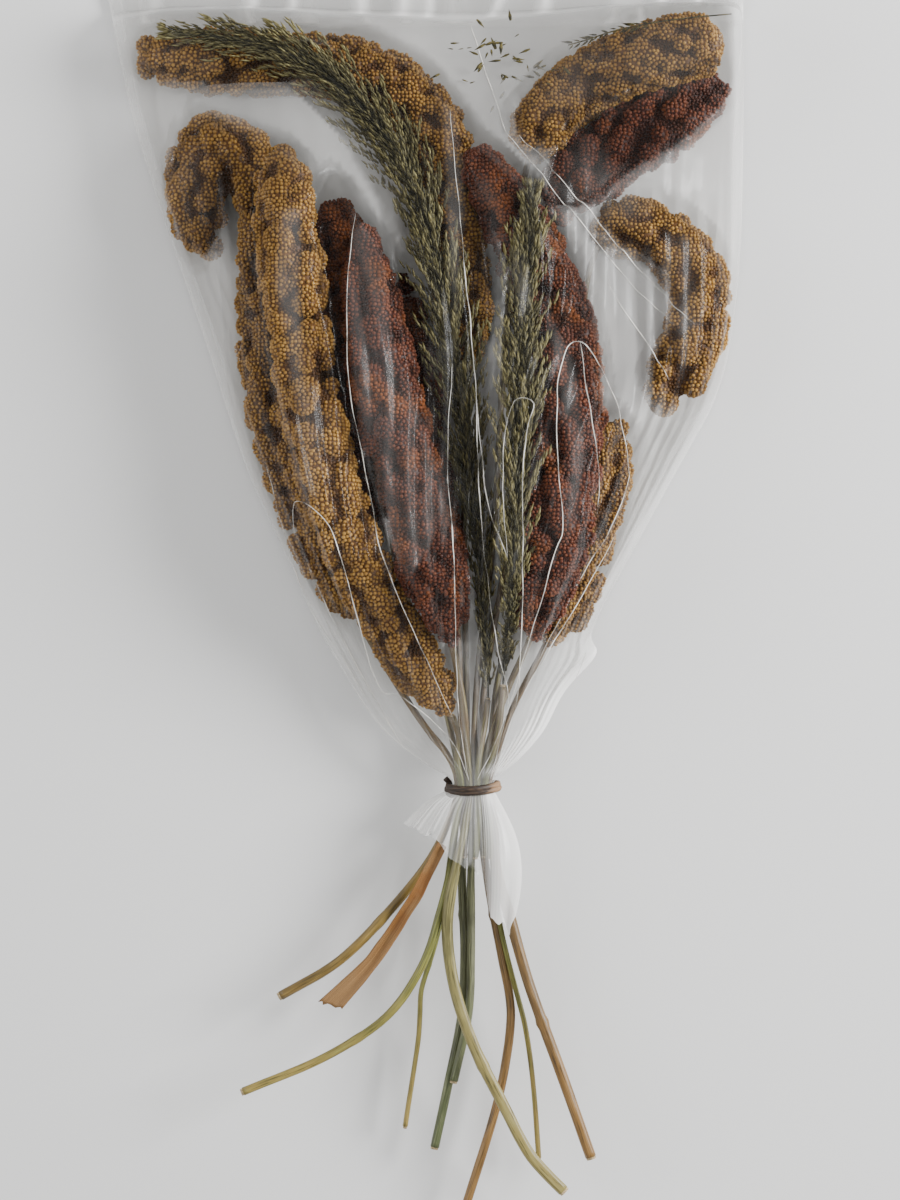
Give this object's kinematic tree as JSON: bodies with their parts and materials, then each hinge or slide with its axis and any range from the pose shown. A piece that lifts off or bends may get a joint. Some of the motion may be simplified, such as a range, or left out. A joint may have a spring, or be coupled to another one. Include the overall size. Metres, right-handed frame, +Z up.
{
  "type": "bundle of dried millet",
  "caption": "Bundle of dried golden and red millet heads with grass plumes in a clear bag tied round the stems, lying flat.",
  "frame": {"origin": "under the middle of the bundle's bounding box, on the surface it lies on", "axes": "+X across the bag to the right as seen from above, +Y along the bundle from the cut stem ends to the bag's welded end, +Z up"},
  "size_m": [0.3052, 0.5874, 0.0645],
  "materials": {
    "golden_grain": "dry, matt golden tan grain with brown chaff between",
    "red_grain": "dry, matt brick red to mahogany grain",
    "grass_plume": "dry grey-green spikelets",
    "olive_stem": "dry olive-brown straw",
    "green_stem": "dry green-olive straw with a satin skin",
    "pale_stem": "dry pale yellow-green straw with a satin skin",
    "grey_stem": "dry grey-green straw",
    "tan_stem": "dry tan straw with brown streaks",
    "leaf_sheath": "dry orange-tan leaf, lengthways veins",
    "bag_film": "clear, glossy, creased plastic film",
    "tie": "dark brown band with a dull sheen"
  },
  "bodies": {
    "root": {"golden_head_1": "golden_grain", "golden_head_2": "golden_grain", "golden_head_3": "golden_grain", "golden_head_4": "golden_grain", "golden_head_5": "golden_grain", "golden_head_6": "golden_grain", "red_head_1": "red_grain", "red_head_2": "red_grain", "red_head_3": "red_grain", "red_head_4": "red_grain", "red_head_5": "red_grain", "grass_plume_1": "grass_plume", "grass_plume_2": "grass_plume", "millet_stem_1": "grey_stem", "millet_stem_2": "green_stem", "millet_stem_3": "tan_stem", "millet_stem_4": "green_stem", "millet_stem_5": "olive_stem", "millet_stem_6": "grey_stem", "millet_stem_7": "grey_stem", "millet_stem_8": "tan_stem", "millet_stem_9": "grey_stem", "millet_stem_10": "green_stem", "millet_stem_11": "pale_stem", "plume_stem_1": "pale_stem", "plume_stem_2": "pale_stem", "leaf_sheath": "leaf_sheath", "loose_sprig": "grass_plume", "neck_tie": "tie", "bag_back_film": "bag_film", "bag_front_film": "bag_film"}
  },
  "joints": []
}
